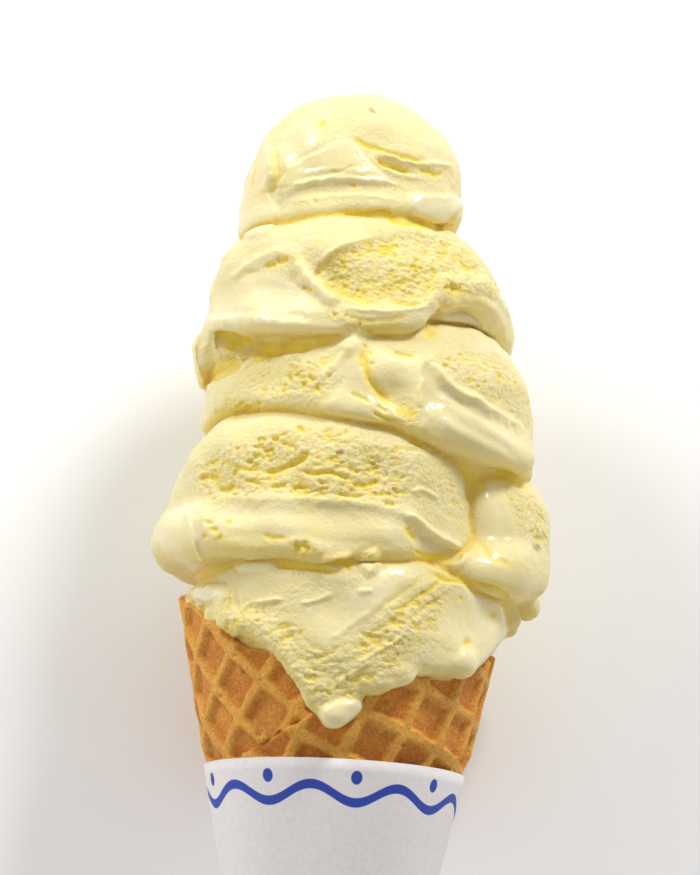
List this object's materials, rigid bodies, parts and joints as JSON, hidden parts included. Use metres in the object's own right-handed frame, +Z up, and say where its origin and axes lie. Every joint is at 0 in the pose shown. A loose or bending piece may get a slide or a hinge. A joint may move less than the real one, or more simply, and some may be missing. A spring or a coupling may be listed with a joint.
{
  "type": "ice cream cone",
  "caption": "Rolled waffle cone in a white paper sleeve, heaped with soft, half melted pale yellow ice cream, lying on its back.",
  "frame": {"origin": "centre of the bounding box at the floor that the cone lies on", "axes": "+Y along the cone from its tip to the top scoop, +Z up, out of the shown face, +X to the right of the shown face with the scoops away from the viewer"},
  "size_m": [0.0914, 0.2778, 0.0847],
  "materials": {
    "wafer": "baked golden brown waffle, lighter ridges, darker pockets, dry and slightly rough",
    "sleeve_paper": "smooth white sleeve paper with a plain blue wave line and dots",
    "ice_cream": "pale yellow soft ice cream: crumbly and airy where scooped, white and glossy where it melts"
  },
  "bodies": {
    "root": {"waffle_cone": "wafer", "paper_sleeve": "sleeve_paper", "scoop_top": "ice_cream", "scoop_second": "ice_cream", "scoop_third": "ice_cream", "scoop_fourth": "ice_cream", "scoop_side": "ice_cream", "scoop_bottom": "ice_cream"}
  },
  "joints": []
}
